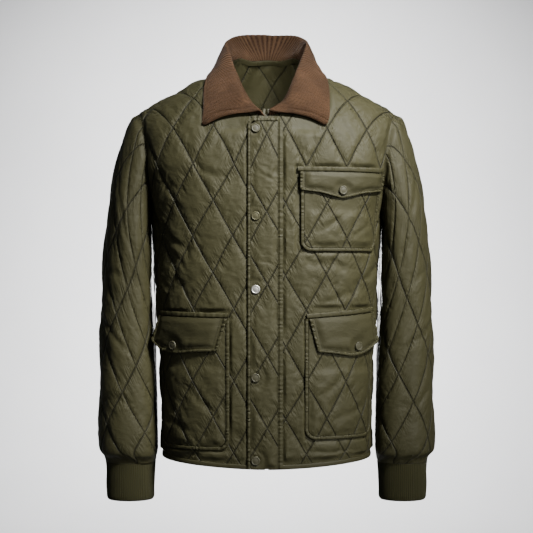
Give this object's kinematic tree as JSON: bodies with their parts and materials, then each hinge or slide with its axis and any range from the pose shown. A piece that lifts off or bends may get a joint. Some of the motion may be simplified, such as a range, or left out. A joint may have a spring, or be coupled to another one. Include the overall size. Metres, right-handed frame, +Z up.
{
  "type": "quilted jacket",
  "caption": "Diamond-quilted jacket with a corduroy collar, snap placket, flap pockets and rib-knit cuffs, filled out in its worn shape with nobody inside.",
  "frame": {"origin": "on the centre plane between the shoulders, level with the two points where neck and shoulder meet", "axes": "+Z up, +X to the right of the front view, the front faces -Y"},
  "size_m": [0.5861, 0.2881, 0.8187],
  "materials": {
    "shell": "olive nylon, quilted",
    "trim": "olive nylon, plain",
    "knit": "dark olive rib knit",
    "corduroy": "brown corduroy",
    "zip_tape": "woven tape",
    "snap_cap": "satin olive",
    "bright_cap": "bright"
  },
  "bodies": {
    "root": {"back": "shell", "front_left": "shell", "front_right": "shell", "sleeve_left": "shell", "sleeve_right": "shell", "cuff_left": "knit", "cuff_right": "knit", "collar": "corduroy", "placket": "shell", "placket_binding": "trim", "placket_edge": "trim", "zip": "zip_tape", "hem_binding": "trim", "neck_tape": "trim", "chest_pocket_bag": "shell", "chest_pocket_piping": "trim", "chest_pocket_flap": "shell", "chest_pocket_flap_binding": "trim", "chest_pocket_welt": "trim", "chest_pocket_snap": "snap_cap", "pocket_left_bag": "shell", "pocket_left_piping": "trim", "pocket_left_flap": "shell", "pocket_left_flap_binding": "trim", "pocket_left_welt": "trim", "pocket_left_snap": "snap_cap", "pocket_right_bag": "shell", "pocket_right_piping": "trim", "pocket_right_flap": "shell", "pocket_right_flap_binding": "trim", "pocket_right_welt": "trim", "pocket_right_snap": "snap_cap", "placket_snap_1": "snap_cap", "placket_snap_2": "snap_cap", "placket_snap_3": "bright_cap", "placket_snap_4": "snap_cap", "placket_snap_5": "snap_cap"}
  },
  "joints": []
}
